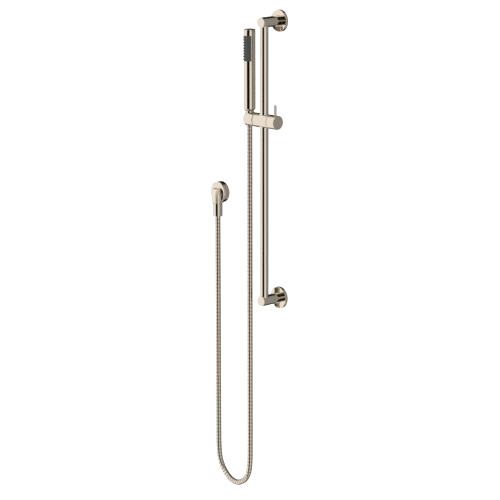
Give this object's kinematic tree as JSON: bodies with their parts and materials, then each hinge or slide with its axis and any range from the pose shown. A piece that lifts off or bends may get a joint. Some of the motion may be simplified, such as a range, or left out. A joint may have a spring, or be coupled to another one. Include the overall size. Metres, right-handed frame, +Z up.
{
  "type": "handheld shower set",
  "caption": "Slide-rail shower set with a slim stick handset in a sliding, tilting holder, a lever lock knob, a metal hose and a round wall outlet elbow.",
  "frame": {"origin": "centre of the back face of the upper wall plate, on the wall plane and on the upper bracket's axis", "axes": "+Y into the wall, +Z up along the rail, +X to the right along the wall; the set stands out from the wall towards -Y"},
  "size_m": [0.2847, 0.0879, 1.2394],
  "materials": {
    "champagne_metal": "champagne nickel PVD, smooth with a faint brushed grain",
    "hose_metal": "champagne, double-interlock ribbed metal hose",
    "brass": "machined, hidden inside",
    "steel": "stainless, plain",
    "white_plastic": "moulded, satin",
    "nozzle_rubber": "dark grey silicone with raised nozzles",
    "seal_rubber": "black, matt"
  },
  "bodies": {
    "root": {"upper_wall_plate": "steel", "lower_wall_plate": "steel", "upper_wall_screw_top": "steel", "upper_wall_screw_bottom": "steel", "lower_wall_screw_top": "steel", "lower_wall_screw_bottom": "steel", "upper_flange_cover": "champagne_metal", "lower_flange_cover": "champagne_metal", "upper_post": "champagne_metal", "lower_post": "champagne_metal", "upper_post_grub_screw": "steel", "lower_post_grub_screw": "steel", "upper_rail_plug": "white_plastic", "lower_rail_plug": "white_plastic", "upper_rail_screw": "steel", "lower_rail_screw": "steel", "rail_tube": "champagne_metal", "elbow_body": "champagne_metal", "elbow_wall_seal": "seal_rubber", "inlet_nipple": "brass", "check_valve_case": "white_plastic", "check_valve_spring": "steel", "wall_hose_seal": "seal_rubber", "wall_ferrule": "brass", "hose_wall_side": "hose_metal"},
    "slider": {"slider_body": "champagne_metal", "rail_bush": "white_plastic", "brake_shoe": "brass", "friction_washer": "seal_rubber", "holder_pivot_screw": "steel", "hose_slider_side": "hose_metal", "hose_bend": "hose_metal"},
    "lock_knob": {"lock_knob": "champagne_metal", "lock_spindle": "steel", "lock_lever": "champagne_metal", "knob_grub_screw": "steel"},
    "holder": {"holder_cradle": "champagne_metal"},
    "hose_end": {"handset_ferrule": "brass", "ferrule_seal": "seal_rubber"},
    "handset": {"cone_nut": "champagne_metal", "handset_tube": "champagne_metal", "handset_cap": "champagne_metal", "cap_o_ring": "seal_rubber", "inlet_adapter": "brass", "adapter_o_ring": "seal_rubber", "spray_chamber": "white_plastic", "waterway_tube": "white_plastic", "nozzle_panel": "nozzle_rubber"},
    "check_poppet": {"check_valve_poppet": "white_plastic"},
    "wall_nut": {"wall_hose_nut": "champagne_metal"}
  },
  "joints": [
    {"name": "slider_height", "type": "slide", "parent": "root", "child": "slider", "axis": [0, 0, 1], "range_m": [-0.42, 0.208], "deforming": ["hose_wall_side", "hose_slider_side"]},
    {"name": "lock_knob_turn", "type": "hinge", "parent": "slider", "child": "lock_knob", "pos_m": [0, -0.0563, -0.2439], "axis": [1, 0, 0], "range_deg": [0, 110]},
    {"name": "holder_tilt", "type": "hinge", "parent": "slider", "child": "holder", "pos_m": [0, -0.0563, -0.2439], "axis": [1, 0, 0], "range_deg": [-8, 40], "deforming": ["hose_bend"]},
    {"name": "handset_lift", "type": "slide", "parent": "holder", "child": "hose_end", "axis": [0, 0, 1], "range_m": [0, 0.036]},
    {"name": "handset_spin", "type": "hinge", "parent": "hose_end", "child": "handset", "pos_m": [-0.0514, -0.0563, -0.2439], "axis": [0, 0, 1], "continuous": true},
    {"name": "wall_nut_turn", "type": "hinge", "parent": "root", "child": "wall_nut", "pos_m": [-0.2092, -0.016, -0.4564], "axis": [0, 0, 1], "continuous": true},
    {"name": "check_valve_open", "type": "slide", "parent": "root", "child": "check_poppet", "axis": [0, 0, -1], "range_m": [0, 0.003], "stiffness_N_per_m": 60, "springref_m": -0.003, "deforming": ["check_valve_spring"]}
  ]
}
